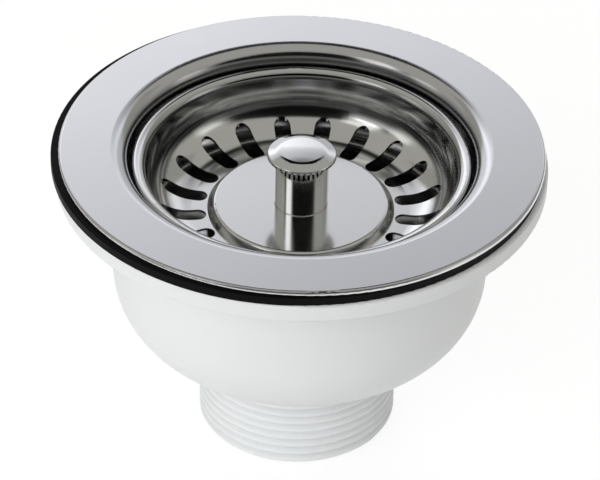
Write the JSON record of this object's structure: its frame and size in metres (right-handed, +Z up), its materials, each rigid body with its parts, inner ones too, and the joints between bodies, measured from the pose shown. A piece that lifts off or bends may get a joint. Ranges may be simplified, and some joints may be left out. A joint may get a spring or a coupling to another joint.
{
  "type": "basket strainer waste",
  "caption": "Kitchen sink waste: steel flange and cup, lift-out slotted basket with knob and rubber plug, white moulded bowl with a threaded outlet.",
  "frame": {"origin": "centre of the outlet's lower end face", "axes": "+Z up along the axis of the outlet and the basket, +Y towards the back of the picture"},
  "size_m": [0.1154, 0.1144, 0.077],
  "materials": {
    "white_plastic": "white moulded, soft satin",
    "black_rubber": "matt black",
    "cup_steel": "bright satin",
    "basket_steel": "polished",
    "knob_steel": "mirror polished",
    "plug_rubber": "matt black",
    "collet_plastic": "plain moulded",
    "screw_steel": "turned",
    "nut_brass": "turned"
  },
  "bodies": {
    "waste": {"waste_body": "white_plastic", "flange_seal": "black_rubber", "strainer_cup": "cup_steel", "centre_screw": "screw_steel", "screw_washer": "black_rubber", "insert_nut": "nut_brass"},
    "lift_out_basket": {"basket": "basket_steel", "knob": "knob_steel", "plug_seal": "plug_rubber", "backing_washer": "screw_steel", "spring_collet": "collet_plastic", "collet_ring": "plug_rubber"}
  },
  "joints": [
    {"name": "basket_lift", "type": "slide", "parent": "waste", "child": "lift_out_basket", "axis": [0, 0, 1], "range_m": [0, 0.04]}
  ]
}
